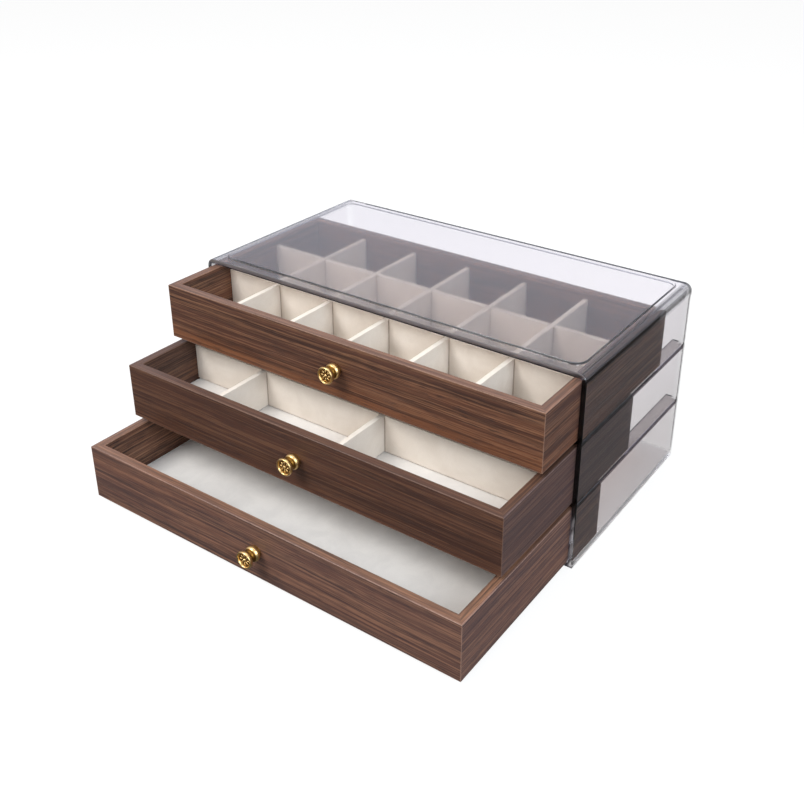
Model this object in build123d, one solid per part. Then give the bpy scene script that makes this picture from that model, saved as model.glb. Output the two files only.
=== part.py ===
from build123d import *
import os

# Jewellery organizer: a smoked plastic case, open at the front, with three felt-lined drawers.
# Sizes are in millimetres. The origin is the middle of the case's underside.
# +X is the right-hand side, +Z is up, and the drawers pull out towards -Y.

# Case moulding
CASE_WIDTH = 280.0
CASE_DEPTH = 150.0
CASE_HEIGHT = 127.0
CASE_WALL = 3.0
CASE_TOP_RADIUS = 5.5
CASE_BASE_RADIUS = 4.5
CASE_REAR_RADIUS = 4.0
CAVITY_CORNER_RADIUS = 1.5
CAVITY_REAR_RADIUS = 1.0
CASE_RIM_BEVEL = 0.4

# Rails on the side walls, each carrying one drawer
RAIL_WIDTH = 8.0
RAIL_THICKNESS = 2.5
RAIL_END_RADIUS = 4.0
RAIL_SETBACK = 1.0

# Raised panel on the lid, hollow below so that the lid keeps one wall thickness
PANEL_INSET = 7.0
PANEL_CORNER_RADIUS = 8.0
PANEL_RISE = 1.0
PANEL_EDGE_BEVEL = 0.6

# Gaps between a drawer and the case
SIDE_GAP = 0.4
SLIDE_GAP = 0.3
HEAD_GAP = 2.0
REAR_GAP = 0.5

# Drawer walls
WALL_THICKNESS = 6.0
RIM_RADIUS = 0.5
MITRE_GAP = 0.02

# Drawer bottom, held in a groove round the walls, with a felt-covered card laid on it.
# BOARD_HEIGHT is measured from the drawer's underside.
BOARD_THICKNESS = 2.5
BOARD_HEIGHT = 2.0
GROOVE_DEPTH = 3.0
GROOVE_GAP = 0.1
LINING_THICKNESS = 1.5
LINING_GAP = 0.3
LINING_EDGE_RADIUS = 0.4

# Felt-covered dividers
DIVIDER_THICKNESS = 3.0
DIVIDER_DROP = 5.0
DIVIDER_EDGE_RADIUS = 1.0
DIVIDER_END_GAP = 0.2
SLOT_GAP = 0.15
TOP_ROWS = 3
TOP_COLUMNS = 6
MIDDLE_ROW_DEPTH = 44.0
MIDDLE_LEFT_WIDTH = 60.0
MIDDLE_CENTRE_WIDTH = 90.0

# How far each drawer stands out of the case
TOP_OPEN = 38.0
MIDDLE_OPEN = 76.0
BOTTOM_OPEN = 112.0

# Knob, turned about its own axis: a rounded foot, a waist, and a head with a dished face
KNOB_FOOT_RADIUS = 5.0
KNOB_FOOT_LENGTH = 4.6
KNOB_FOOT_BEVEL = 0.8
KNOB_SHOULDER_LENGTH = 1.8
KNOB_WAIST_RADIUS = 3.0
KNOB_WAIST_LENGTH = 1.8
KNOB_FLARE_LENGTH = 1.0
KNOB_FACE_RADIUS = 5.5
KNOB_FACE_THICKNESS = 2.6
KNOB_FACE_BEVEL = 0.7
KNOB_RIM_WIDTH = 0.7
KNOB_DISH_DEPTH = 0.8
KNOB_BORE_SPARE = 0.3

# Screw that holds the knob, its head let into the inside of the drawer's front wall.
# SCREW_GRIP is how far it reaches into the knob.
SCREW_RADIUS = 2.0
SCREW_GRIP = 5.5
SCREW_THREAD_GAP = 0.05
SCREW_HOLE_GAP = 0.15
SCREW_HEAD_RADIUS = 3.5
SCREW_HEAD_THICKNESS = 2.2
SCREW_HEAD_SINK = 0.3
SCREW_HEAD_GAP = 0.2
SCREW_SLOT_WIDTH = 0.8
SCREW_SLOT_DEPTH = 0.9

# How far a cutting tool runs past the surface that it opens
OVERCUT = 2.0

# Places that follow from the sizes above
CASE_FRONT = -CASE_DEPTH / 2
CASE_BACK = CASE_DEPTH / 2
CAVITY_WIDTH = CASE_WIDTH - 2 * CASE_WALL
CAVITY_BACK = CASE_BACK - CASE_WALL
CAVITY_TOP = CASE_HEIGHT - CASE_WALL
BAY_HEIGHT = (CAVITY_TOP - CASE_WALL - 2 * RAIL_THICKNESS) / 3
BAY_FLOORS = [CASE_WALL + n * (BAY_HEIGHT + RAIL_THICKNESS) for n in range(3)]

DRAWER_WIDTH = CAVITY_WIDTH - 2 * SIDE_GAP
DRAWER_DEPTH = CAVITY_BACK - REAR_GAP - CASE_FRONT
DRAWER_HEIGHT = BAY_HEIGHT - SLIDE_GAP - HEAD_GAP
TRAY_WIDTH = DRAWER_WIDTH - 2 * WALL_THICKNESS
TRAY_DEPTH = DRAWER_DEPTH - 2 * WALL_THICKNESS
LINING_TOP = BOARD_HEIGHT + BOARD_THICKNESS + LINING_THICKNESS
DIVIDER_HEIGHT = DRAWER_HEIGHT - DIVIDER_DROP - LINING_TOP
KNOB_HEIGHT = DRAWER_HEIGHT / 2
HEAD_POCKET_DEPTH = SCREW_HEAD_THICKNESS + SCREW_HEAD_SINK

ON_FLOOR = (Align.CENTER, Align.CENTER, Align.MIN)
BELOW = (Align.CENTER, Align.CENTER, Align.MAX)

DRAWERS = {
    "bottom": (BAY_FLOORS[0], BOTTOM_OPEN),
    "middle": (BAY_FLOORS[1], MIDDLE_OPEN),
    "top": (BAY_FLOORS[2], TOP_OPEN),
}


def rounded_bar(width, height, top_radius, base_radius, front, back):
    """A bar along Y whose section has rounded top and base corners, standing on Z = 0."""
    with BuildPart() as bar:
        with BuildSketch(Plane.XZ.offset(-front)) as section:
            with Locations((0, height / 2)):
                Rectangle(width, height)
            top = section.vertices().group_by(Axis.Y)[-1]
            base = section.vertices().group_by(Axis.Y)[0]
            fillet(top, top_radius)
            fillet(base, base_radius)
        extrude(amount=-(back - front))
    return bar.part


def rear_edges(solid):
    """The edges round a solid's rearmost face."""
    return solid.faces().sort_by(Axis.Y)[-1].edges()


def rounded_plate(inset, corner_radius, low, high):
    """A flat plate with rounded corners, inset alike from all four sides of the case."""
    outline = RectangleRounded(CASE_WIDTH - 2 * inset, CASE_DEPTH - 2 * inset, corner_radius)
    return extrude(Pos(0, 0, low) * outline, amount=high - low)


def rail(floor):
    """One rail: a ledge from the front of the case to its back wall, rounded at its free corner."""
    front = CASE_FRONT + RAIL_SETBACK
    length = CAVITY_BACK - front + CASE_WALL / 2
    width = RAIL_WIDTH + CASE_WALL / 2
    ledge = Box(width, length, RAIL_THICKNESS, align=(Align.MAX, Align.MIN, Align.MAX))
    corner = ledge.edges().filter_by(Axis.Z).group_by(Axis.X)[0].sort_by(Axis.Y)[0]
    ledge = fillet(corner, RAIL_END_RADIUS)
    return Pos(CAVITY_WIDTH / 2 + CASE_WALL / 2, front, floor) * ledge


def open_box():
    """The plain five-walled moulding, open at the front."""
    body = rounded_bar(CASE_WIDTH, CASE_HEIGHT, CASE_TOP_RADIUS, CASE_BASE_RADIUS, CASE_FRONT, CASE_BACK)
    body = fillet(rear_edges(body), CASE_REAR_RADIUS)
    cavity = rounded_bar(
        CAVITY_WIDTH,
        CAVITY_TOP - CASE_WALL,
        CAVITY_CORNER_RADIUS,
        CAVITY_CORNER_RADIUS,
        CASE_FRONT - OVERCUT,
        CAVITY_BACK,
    )
    body = body - Pos(0, 0, CASE_WALL) * fillet(rear_edges(cavity), CAVITY_REAR_RADIUS)
    rim = body.faces().sort_by(Axis.Y)[0].edges()
    return chamfer(rim, CASE_RIM_BEVEL)


def case_shell():
    """The whole moulding: the open box, the raised panel on its lid, and four rails."""
    panel = rounded_plate(PANEL_INSET, PANEL_CORNER_RADIUS, CASE_HEIGHT, CASE_HEIGHT + PANEL_RISE)
    panel = chamfer(panel.faces().sort_by(Axis.Z)[-1].edges(), PANEL_EDGE_BEVEL)
    hollow_inset = PANEL_INSET + CASE_WALL / 2
    hollow_radius = PANEL_CORNER_RADIUS - CASE_WALL / 2
    hollow = rounded_plate(hollow_inset, hollow_radius, CAVITY_TOP - OVERCUT, CAVITY_TOP + PANEL_RISE)

    body = open_box() + panel - hollow
    for floor in BAY_FLOORS[1:]:
        right_rail = rail(floor)
        body = body + right_rail + mirror(right_rail, about=Plane.YZ)
    return body


def wall_bar(length):
    """A veneered drawer wall along X, its inner face on Y = 0, grooved inside for the bottom board."""
    bar = Box(length, WALL_THICKNESS, DRAWER_HEIGHT, align=(Align.CENTER, Align.MAX, Align.MIN))
    bar = fillet(bar.edges().filter_by(Axis.X).group_by(Axis.Z)[-1], RIM_RADIUS)
    groove = Box(length, 2 * GROOVE_DEPTH, BOARD_THICKNESS + GROOVE_GAP, align=ON_FLOOR)
    bar = bar - Pos(0, 0, BOARD_HEIGHT) * groove
    half = length / 2
    inner = half - WALL_THICKNESS
    outline = make_face(
        Polyline(
            (-half + MITRE_GAP, -WALL_THICKNESS),
            (half - MITRE_GAP, -WALL_THICKNESS),
            (inner - MITRE_GAP, 0),
            (-inner + MITRE_GAP, 0),
            close=True,
        )
    )
    return bar & extrude(outline, amount=DRAWER_HEIGHT)


def front_panel():
    """The front wall, drilled for the knob screw and counterbored from inside for its head."""
    wall = Pos(0, WALL_THICKNESS, 0) * wall_bar(DRAWER_WIDTH)
    hole = Cylinder(SCREW_RADIUS + SCREW_HOLE_GAP, 2 * (WALL_THICKNESS + OVERCUT))
    pocket = Cylinder(SCREW_HEAD_RADIUS + SCREW_HEAD_GAP, HEAD_POCKET_DEPTH + OVERCUT, align=BELOW)
    pocket = Pos(0, 0, HEAD_POCKET_DEPTH - WALL_THICKNESS) * pocket
    return wall - on_front(hole + pocket)


def back_panel():
    """The back wall, the same bar turned about and left undrilled."""
    return Pos(0, DRAWER_DEPTH - WALL_THICKNESS, 0) * Rot(Z=180) * wall_bar(DRAWER_WIDTH)


def side_panel(side):
    """A side wall; side is -1 for the left and 1 for the right."""
    wall = Rot(Z=90 * side) * wall_bar(DRAWER_DEPTH)
    return Pos(side * TRAY_WIDTH / 2, DRAWER_DEPTH / 2, 0) * wall


def bottom_board():
    """The thin board that slides into the grooves of all four walls."""
    reach = 2 * (GROOVE_DEPTH - GROOVE_GAP)
    board = Box(TRAY_WIDTH + reach, TRAY_DEPTH + reach, BOARD_THICKNESS, align=ON_FLOOR)
    return Pos(0, DRAWER_DEPTH / 2, BOARD_HEIGHT) * board


def floor_lining():
    """Felt on card, cut a little smaller than the tray and laid on the bottom board."""
    width = TRAY_WIDTH - 2 * LINING_GAP
    depth = TRAY_DEPTH - 2 * LINING_GAP
    lining = Box(width, depth, LINING_THICKNESS, align=ON_FLOOR)
    lining = fillet(lining.faces().sort_by(Axis.Z)[-1].edges(), LINING_EDGE_RADIUS)
    return Pos(0, DRAWER_DEPTH / 2, BOARD_HEIGHT + BOARD_THICKNESS) * lining


def divider_board(length):
    """A felt-covered board along X with a rounded top edge."""
    board = Box(length, DIVIDER_THICKNESS, DIVIDER_HEIGHT, align=ON_FLOOR)
    top_edges = board.edges().filter_by(Axis.X).group_by(Axis.Z)[-1]
    return fillet(top_edges, DIVIDER_EDGE_RADIUS)


def slot(place, from_top):
    """The half-lap slot at a place along a divider, open at its top or at its foot."""
    width = DIVIDER_THICKNESS + 2 * SLOT_GAP
    height = DIVIDER_HEIGHT / 2 + SLOT_GAP
    cutter = Box(width, 2 * DIVIDER_THICKNESS, 2 * height)
    return Pos(place, 0, DIVIDER_HEIGHT if from_top else 0) * cutter


def long_divider(depth, columns):
    """A divider from left to right. depth is its middle's distance behind the drawer's front face."""
    board = divider_board(TRAY_WIDTH - 2 * DIVIDER_END_GAP)
    for place in columns:
        board = board - slot(place, from_top=True)
    return Pos(0, depth, LINING_TOP) * board


def cross_divider(place, rows):
    """A divider from front to back. place is its middle's distance from the drawer's middle."""
    board = divider_board(TRAY_DEPTH - 2 * DIVIDER_END_GAP)
    for depth in rows:
        board = board - slot(depth - DRAWER_DEPTH / 2, from_top=False)
    return Pos(place, DRAWER_DEPTH / 2, LINING_TOP) * Rot(Z=90) * board


def divided(name, rows, columns):
    """The dividers of one drawer, half-lapped where they cross."""
    pieces = {}
    for number, depth in enumerate(rows, start=1):
        pieces[f"{name}_long_divider_{number}"] = long_divider(depth, columns)
    for number, place in enumerate(columns, start=1):
        pieces[f"{name}_cross_divider_{number}"] = cross_divider(place, rows)
    return pieces


def top_rows():
    """Depths of the top drawer's long dividers, its rows being equal."""
    cell = (TRAY_DEPTH - (TOP_ROWS - 1) * DIVIDER_THICKNESS) / TOP_ROWS
    pitch = cell + DIVIDER_THICKNESS
    first = WALL_THICKNESS + cell + DIVIDER_THICKNESS / 2
    return [first + n * pitch for n in range(TOP_ROWS - 1)]


def top_columns():
    """Places of the top drawer's cross dividers, its columns being equal."""
    cell = (TRAY_WIDTH - (TOP_COLUMNS - 1) * DIVIDER_THICKNESS) / TOP_COLUMNS
    pitch = cell + DIVIDER_THICKNESS
    first = -TRAY_WIDTH / 2 + cell + DIVIDER_THICKNESS / 2
    return [first + n * pitch for n in range(TOP_COLUMNS - 1)]


def middle_rows():
    """Depth of the middle drawer's only long divider."""
    return [WALL_THICKNESS + MIDDLE_ROW_DEPTH + DIVIDER_THICKNESS / 2]


def middle_columns():
    """Places of the middle drawer's two cross dividers."""
    first = -TRAY_WIDTH / 2 + MIDDLE_LEFT_WIDTH + DIVIDER_THICKNESS / 2
    return [first, first + DIVIDER_THICKNESS + MIDDLE_CENTRE_WIDTH]


def knob_outline():
    """Half of the knob's section: a foot, a waist, and a head that flares out to a dished face."""
    waist_end = KNOB_FOOT_LENGTH + KNOB_WAIST_LENGTH
    face_start = waist_end + KNOB_FLARE_LENGTH
    face_end = face_start + KNOB_FACE_THICKNESS
    rim_outer = KNOB_FACE_RADIUS - KNOB_FACE_BEVEL
    rim_inner = rim_outer - KNOB_RIM_WIDTH
    outline = Polyline(
        (0, 0),
        (KNOB_FOOT_RADIUS - KNOB_FOOT_BEVEL, 0),
        (KNOB_FOOT_RADIUS, KNOB_FOOT_BEVEL),
        (KNOB_FOOT_RADIUS, KNOB_FOOT_LENGTH - KNOB_SHOULDER_LENGTH),
        (KNOB_WAIST_RADIUS, KNOB_FOOT_LENGTH),
        (KNOB_WAIST_RADIUS, waist_end),
        (KNOB_FACE_RADIUS, face_start),
        (KNOB_FACE_RADIUS, face_end - KNOB_FACE_BEVEL),
        (rim_outer, face_end),
        (rim_inner, face_end),
        (rim_inner, face_end - KNOB_DISH_DEPTH),
        (0, face_end - KNOB_DISH_DEPTH),
        close=True,
    )
    return make_face(outline)


def knob():
    """The brass knob, pointing along +Z from its foot."""
    turned = revolve(Plane.XZ * knob_outline(), axis=Axis.Z)
    bore = Cylinder(SCREW_RADIUS + SCREW_THREAD_GAP, SCREW_GRIP + KNOB_BORE_SPARE, align=ON_FLOOR)
    return turned - bore


def knob_screw():
    """The slotted screw, its shank pointing along +Z and its head below Z = 0 in the wall's pocket."""
    seat = HEAD_POCKET_DEPTH - WALL_THICKNESS
    head = Pos(0, 0, seat) * Cylinder(SCREW_HEAD_RADIUS, SCREW_HEAD_THICKNESS, align=BELOW)
    shank_length = SCREW_GRIP - seat + SCREW_HEAD_THICKNESS / 2
    shank = Pos(0, 0, SCREW_GRIP) * Cylinder(SCREW_RADIUS, shank_length, align=BELOW)
    cutter = Box(2 * (SCREW_HEAD_RADIUS + OVERCUT), SCREW_SLOT_WIDTH, 2 * SCREW_SLOT_DEPTH)
    driver_slot = Pos(0, 0, seat - SCREW_HEAD_THICKNESS) * cutter
    return head + shank - driver_slot


def on_front(piece):
    """Turns a piece made along +Z so that it points out of the drawer's front at knob height."""
    return Pos(0, 0, KNOB_HEIGHT) * Rot(X=90) * piece


def drawer(name):
    """Every piece of one drawer, with the middle of its front face's foot at the origin."""
    pieces = {
        f"{name}_front_panel": front_panel(),
        f"{name}_back_panel": back_panel(),
        f"{name}_left_side": side_panel(-1),
        f"{name}_right_side": side_panel(1),
        f"{name}_bottom_board": bottom_board(),
        f"{name}_floor_lining": floor_lining(),
        f"{name}_knob": on_front(knob()),
        f"{name}_knob_screw": on_front(knob_screw()),
    }
    if name == "top":
        pieces.update(divided(name, top_rows(), top_columns()))
    if name == "middle":
        pieces.update(divided(name, middle_rows(), middle_columns()))
    return pieces


def organizer():
    """Every node by name: the case, then the drawers as far open as in the photo."""
    nodes = {"case_shell": case_shell()}
    for name, (floor, opened) in DRAWERS.items():
        place = Pos(0, CASE_FRONT - opened, floor + SLIDE_GAP)
        for node, piece in drawer(name).items():
            nodes[node] = place * piece
    return nodes


os.makedirs("parts", exist_ok=True)
for node, piece in organizer().items():
    export_step(piece, f"parts/{node}.step")
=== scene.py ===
import math

import bmesh
import bpy
from mathutils import Matrix, Vector


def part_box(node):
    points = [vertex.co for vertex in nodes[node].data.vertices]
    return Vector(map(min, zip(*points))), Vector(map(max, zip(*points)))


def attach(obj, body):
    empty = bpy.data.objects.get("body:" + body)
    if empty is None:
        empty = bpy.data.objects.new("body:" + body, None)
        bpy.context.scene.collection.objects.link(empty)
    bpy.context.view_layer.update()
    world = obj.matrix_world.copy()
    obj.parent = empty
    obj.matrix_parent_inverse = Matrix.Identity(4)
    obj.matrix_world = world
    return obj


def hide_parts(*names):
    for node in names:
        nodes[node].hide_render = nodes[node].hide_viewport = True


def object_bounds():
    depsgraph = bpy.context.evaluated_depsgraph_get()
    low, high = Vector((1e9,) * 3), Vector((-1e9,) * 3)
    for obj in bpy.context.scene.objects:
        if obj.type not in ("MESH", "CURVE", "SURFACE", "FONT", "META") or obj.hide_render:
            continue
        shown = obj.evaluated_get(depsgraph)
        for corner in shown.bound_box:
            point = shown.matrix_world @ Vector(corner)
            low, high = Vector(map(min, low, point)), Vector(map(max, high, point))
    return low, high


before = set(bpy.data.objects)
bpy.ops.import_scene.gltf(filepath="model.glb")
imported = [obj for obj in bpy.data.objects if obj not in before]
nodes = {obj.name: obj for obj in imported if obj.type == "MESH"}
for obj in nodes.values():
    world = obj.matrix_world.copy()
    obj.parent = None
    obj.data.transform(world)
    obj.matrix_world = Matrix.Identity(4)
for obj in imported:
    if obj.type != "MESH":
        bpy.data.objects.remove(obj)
cad_low, cad_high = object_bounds()


# The case is one moulding of smoked acrylic, open at the front. Four rails inside it, two to a side, carry
# the middle and top drawers, and its lid has a raised panel. The plastic is clear enough to see through,
# and dark along its edges, where the light travels a long way inside it.
# Painted shade in the tint darkens the rims, rails, rail ends, lip and shoulders, and the lower part of the
# case.
MM = 0.001
CASE_WALL = 3 * MM
LID_PANEL_RISE = 1 * MM
RAIL_WIDTH = 8 * MM
SLIDE_GAP = 0.3 * MM
case_low, case_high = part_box("case_shell")
inner_side = case_high.x - CASE_WALL
inner_back = case_high.y - CASE_WALL
rail_tip = inner_side - RAIL_WIDTH
lid_top = case_high.z - LID_PANEL_RISE
lid_underside = lid_top - CASE_WALL

# The zones of the case that have a look of their own. zone() says what the four values of a limit are.
RAILS = [("depth", inner_back, -0.2, -1.0), ("height", case_low.z, 30.0, 31.0),
         ("height", case_low.z, 100.0, 99.0)]
SHOULDER = [("side", inner_side, -3.5, -2.0), ("height", lid_underside, -5.0, -2.0)]
CASE_ZONES = {
    "upper": [("height", case_low.z, 30.0, 110.0)],
    "underside": [("height", case_low.z, 2.5, 0.3)],
    "rail": RAILS + [("side", inner_side, -0.1, -0.4)],
    "rail_edge": RAILS + [("side", rail_tip, 0.4, 0.1)],
    "rim": [("depth", case_low.y, 0.8, 0.45), ("height", lid_underside, 1.1, 0.9)],
    "rim_corner": [("side", inner_side, 0.9, 1.7)],
    "lip": [("depth", case_low.y, 0.9, 0.6), ("height", lid_underside, 0.9, 1.1)],
    "lid_inside": [("height", lid_underside, -0.6, -0.1), ("height", lid_underside, 1.8, 1.2)],
    "lid_step": [("height", lid_top, 0.02, 0.08), ("height", case_high.z, -0.02, -0.1)],
    "shoulder": SHOULDER,
    "shoulder_curve": SHOULDER + [("height", lid_top, -0.1, -0.4)],
    "rear_edge": [("side", inner_side, -4.0, -3.0), ("depth", inner_back, -3.5, -2.0),
                  ("height", lid_underside, -2.0, -6.0)],
    "side_foot": [("height", case_low.z, 5.5, 4.5), ("side", inner_side, -1.0, -0.2),
                  ("depth", case_low.y, 2.0, 3.0)],
    "back_foot": [("height", case_low.z, 5.5, 4.5), ("depth", inner_back, -1.0, -0.2)]}
for drawer in ("middle", "top"):
    rail_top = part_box(f"{drawer}_front_panel")[0].z - SLIDE_GAP
    CASE_ZONES[f"{drawer}_rail_section"] = [
        ("side", inner_side, 1.5, 2.0), ("height", rail_top, -2.65, -2.45),
        ("height", rail_top, 0.35, 0.15)]

CASE_TINT = (0.998, 0.982, 0.997, 1.0)
# Painted shade: a darker, warmer tint below the upper zone stands for the floor's shadow seen through the
# lower part.
CASE_PAINTED_SHADE_LOW = (0.972, 0.948, 0.950, 1.0)
# Painted shade: these dark tints on the rims, rail edges, rail ends, lip, rails and shoulders stand for
# light lost inside the plastic there.
RIM_PAINTED_SHADE = (0.14, 0.12, 0.15, 1.0)
RAIL_SECTION_PAINTED_SHADE = (0.07, 0.05, 0.06, 1.0)
ZONE_PAINTED_SHADES = {
    "rail": (0.54, 0.50, 0.49, 1.0), "shoulder": (0.52, 0.515, 0.53, 1.0),
    "middle_rail_section": RAIL_SECTION_PAINTED_SHADE, "top_rail_section": RAIL_SECTION_PAINTED_SHADE,
    "rail_edge": RIM_PAINTED_SHADE, "rim": RIM_PAINTED_SHADE, "lip": (0.35, 0.26, 0.22, 1.0)}
RIM_CORNER_SHARE = 0.2
CASE_GLOSS = 0.025
CASE_SMUDGED = 0.11
SMUDGE_SIZE = 60 * MM
ZONE_MATT = {"underside": 0.35, "lid_inside": 0.12, "lip": 0.5, "lid_step": 0.45}
ZONE_CLEARED = {"rear_edge": 0.8, "side_foot": 0.5, "back_foot": 0.5, "shoulder_curve": 0.2}
CASE_FLOW = (14.0, 14.0, 30.0)
FLOW_DEPTH = 0.1 * MM
CASE_REFRACTION = 1.49
SMOKE_COLOUR = (0.13, 0.0, 0.10, 1.0)
SMOKE_DENSITY = 5.5
LAMP_LIGHT_LET_IN = (0.24, 0.19, 0.142, 1.0)


def put(tree, kind, inputs=None, **settings):
    """Adds a node with its settings. An input is given by its name or place, as a value or as the output
    of another node."""
    node = tree.nodes.new(kind)
    for name, value in settings.items():
        setattr(node, name, value)
    for key, value in (inputs or {}).items():
        if isinstance(value, bpy.types.NodeSocket):
            tree.links.new(value, node.inputs[key])
        else:
            node.inputs[key].default_value = value
    return node


def maths(tree, operation, *values):
    """One sum on numbers that change over the surface."""
    return put(tree, "ShaderNodeMath", dict(enumerate(values)), operation=operation).outputs[0]


def strongest(tree, *shares):
    """The largest of some shares."""
    most = shares[0]
    for share in shares[1:]:
        most = maths(tree, "MAXIMUM", most, share)
    return most


def spread(tree, value, low, high, to_low=0.0, to_high=1.0):
    """Stretches the part of a value between low and high to the range from to_low to to_high."""
    inputs = {0: value, 1: low, 2: high, 3: to_low, 4: to_high}
    return put(tree, "ShaderNodeMapRange", inputs).outputs[0]


def zone(tree, measures, limits):
    """How far a spot lies in a zone, from 0 to 1. A limit has a measure, the level that it starts from, and
    how far beyond that level, in millimetres, the zone begins and is full. All its limits have to hold."""
    share = 1.0
    for measure, level, begins, full in limits:
        inside = spread(tree, measures[measure], level + begins * MM, level + full * MM)
        share = maths(tree, "MULTIPLY", share, inside)
    return share


def mixed(tree, share, first, second):
    """One colour laid over another."""
    inputs = {0: share, 6: first, 7: second}
    return put(tree, "ShaderNodeMix", inputs, data_type="RGBA").outputs[2]


def noise(tree, place, scale, detail=3.0, roughness=0.5, distortion=0.0):
    """Cloudy noise, with about scale lumps in a metre."""
    inputs = {"Vector": place, "Scale": scale, "Detail": detail, "Roughness": roughness,
              "Distortion": distortion}
    return put(tree, "ShaderNodeTexNoise", inputs).outputs["Fac"]


def stretched(tree, place, scale, shift=(0.0, 0.0, 0.0), turn=(0.0, 0.0, 0.0)):
    """The place on a piece, turned and stretched, for a pattern to follow."""
    inputs = {"Vector": place, "Location": shift, "Rotation": turn, "Scale": scale}
    return put(tree, "ShaderNodeMapping", inputs).outputs[0]


def new_group(name, inputs, outputs):
    """An empty node group with named inputs and outputs. Returns it with its two end nodes."""
    group = bpy.data.node_groups.new(name, "ShaderNodeTree")
    for socket, kind in inputs.items():
        group.interface.new_socket(socket, in_out="INPUT", socket_type="NodeSocket" + kind)
    for socket, kind in outputs.items():
        group.interface.new_socket(socket, in_out="OUTPUT", socket_type="NodeSocket" + kind)
    return group, group.nodes.new("NodeGroupInput"), group.nodes.new("NodeGroupOutput")


def new_material(name):
    """An empty material. Returns it with its node tree."""
    material = bpy.data.materials.new(name)
    material.use_nodes = True
    material.node_tree.nodes.clear()
    return material, material.node_tree


def finish(node, material):
    """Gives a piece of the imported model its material."""
    nodes[node].data.materials.clear()
    nodes[node].data.materials.append(material)


def principled(tree, **inputs):
    """The finish, joined to the material's output. Underscores stand for the spaces in socket names."""
    named = {key.replace("_", " "): value for key, value in inputs.items()}
    shader = put(tree, "ShaderNodeBsdfPrincipled", named)
    put(tree, "ShaderNodeOutputMaterial", {"Surface": shader.outputs[0]})


def bumped(tree, height, distance):
    """Relief of that depth."""
    return put(tree, "ShaderNodeBump", {"Height": height, "Distance": distance}).outputs[0]


def handling_marks():
    """Faint finger smudges that the case and the metal share."""
    group, start, end = new_group("handling_marks", {"Place": "Vector", "Smudge Size": "Float"},
                                  {"Smudge": "Float"})
    scale = maths(group, "DIVIDE", 1.0, start.outputs["Smudge Size"])
    cloud = noise(group, start.outputs["Place"], scale, 5.0, 0.6, 0.6)
    group.links.new(spread(group, cloud, 0.48, 0.72), end.inputs["Smudge"])
    return group


MARKS = handling_marks()


def smoked_plastic():
    """Clear moulded acrylic that swallows a little light on its way. Lamps shine in through it. Its thin
    edges at the foot, the rear and the shoulder let some of what is behind them show. Painted shade in
    its tint darkens its rims, rails, rail ends, lip and shoulders, and its lower part."""
    material, tree = new_material("smoked_plastic")
    place = put(tree, "ShaderNodeTexCoord").outputs["Object"]
    x, y, z = put(tree, "ShaderNodeSeparateXYZ", {0: place}).outputs
    measures = {"side": maths(tree, "ABSOLUTE", x), "depth": y, "height": z}
    zones = {name: zone(tree, measures, limits) for name, limits in CASE_ZONES.items()}
    corner = spread(tree, zones["rim_corner"], 0.0, 1.0, 1.0, RIM_CORNER_SHARE)
    zones["rim"] = maths(tree, "MULTIPLY", zones["rim"], corner)

    # Painted shade: the tint is darker on the lower part, the rims, rails, rail ends, lip and shoulders.
    tint_and_painted_shade = mixed(tree, zones["upper"], CASE_PAINTED_SHADE_LOW, CASE_TINT)
    for name, colour in ZONE_PAINTED_SHADES.items():
        tint_and_painted_shade = mixed(tree, zones[name], tint_and_painted_shade, colour)
    marks = put(tree, "ShaderNodeGroup", {"Place": place, "Smudge Size": SMUDGE_SIZE}, node_tree=MARKS)
    smudged = spread(tree, marks.outputs["Smudge"], 0.0, 1.0, CASE_GLOSS, CASE_SMUDGED)
    matt = [maths(tree, "MULTIPLY", zones[name], roughness) for name, roughness in ZONE_MATT.items()]
    clear = [maths(tree, "MULTIPLY", zones[name], share) for name, share in ZONE_CLEARED.items()]
    dark = strongest(tree, zones["rail_edge"], zones["rim"], zones["lip"])
    cleared = maths(tree, "MULTIPLY", strongest(tree, *clear), maths(tree, "SUBTRACT", 1.0, dark))
    flow = noise(tree, stretched(tree, place, CASE_FLOW), 1.0, 2.0)

    shader = put(tree, "ShaderNodeBsdfPrincipled", {
        "Base Color": tint_and_painted_shade, "Roughness": strongest(tree, smudged, *matt), "IOR": CASE_REFRACTION,
        "Transmission Weight": 1.0, "Alpha": maths(tree, "SUBTRACT", 1.0, cleared),
        "Normal": bumped(tree, flow, FLOW_DEPTH)})
    lamps = put(tree, "ShaderNodeBsdfTransparent", {"Color": LAMP_LIGHT_LET_IN})
    shadow_ray = put(tree, "ShaderNodeLightPath").outputs["Is Shadow Ray"]
    surface = put(tree, "ShaderNodeMixShader", {0: shadow_ray, 1: shader.outputs[0], 2: lamps.outputs[0]})
    smoke = put(tree, "ShaderNodeVolumeAbsorption", {"Color": SMOKE_COLOUR, "Density": SMOKE_DENSITY})
    put(tree, "ShaderNodeOutputMaterial", {"Surface": surface.outputs[0], "Volume": smoke.outputs[0]})
    return material


finish("case_shell", smoked_plastic())


# Each drawer's four walls are fibreboard wrapped in walnut veneer foil and mitred at the corners.
# The grain runs along each wall, over its top edge too, and the foil is rubbed paler along the edges.
# A painted highlight makes the top edge paler, and a painted grey sheen lies over the outer faces.
DRAWERS = ("bottom", "middle", "top")
WALL_GRAIN_TURNS = {"front_panel": 0.0, "back_panel": 0.0, "left_side": 90.0, "right_side": 90.0}


def shade(red, green, blue):
    """A colour as a screen shows it, 0 to 255, in the linear values that a node takes."""
    linear = [((c / 255 + 0.055) / 1.055) ** 2.4 for c in (red, green, blue)]
    return (*linear, 1.0)


WALNUT_DARK = shade(48, 28, 21)
WALNUT_MIDDLE = shade(95, 60, 45)
WALNUT_LIGHT = shade(145, 103, 77)
WALNUT_PORE = shade(30, 18, 15)
WALNUT_WARM = shade(130, 78, 46)
WALNUT_WEAR_AND_HIGHLIGHT = shade(160, 126, 106)
# Painted sheen: a grey laid over the outer faces stands for the reflection of the room on the satin foil.
WALNUT_PAINTED_SHEEN = shade(132, 118, 124)
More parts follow.
